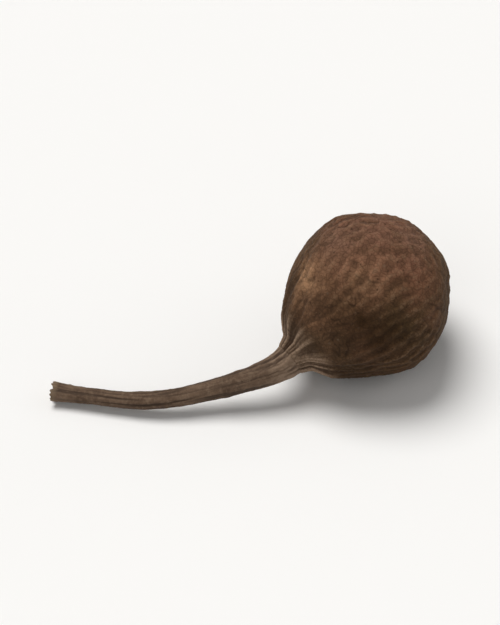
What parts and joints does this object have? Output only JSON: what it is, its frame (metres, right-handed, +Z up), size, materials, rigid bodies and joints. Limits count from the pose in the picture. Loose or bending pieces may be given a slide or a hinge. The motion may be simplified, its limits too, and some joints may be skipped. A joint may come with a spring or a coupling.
{
  "type": "uziza pepper",
  "caption": "Dried, slightly oval peppercorn with a tapered neck and a long curved stalk, lying on its side.",
  "frame": {"origin": "centre of the small flat that the berry rests on, on the surface it lies on", "axes": "+Z up from that surface, -X the way the stalk runs from the berry, -Y towards a viewer who has the stalk on the left"},
  "size_m": [0.0112, 0.005, 0.0047],
  "materials": {
    "dried_berry_skin": "matte, dusty, finely wrinkled dried fruit skin, reddish brown above and olive brown below",
    "dried_stalk": "matte, fibrous, lengthwise grooved dried stalk, grey brown"
  },
  "bodies": {
    "root": {"berry": "dried_berry_skin", "stalk": "dried_stalk"}
  },
  "joints": []
}
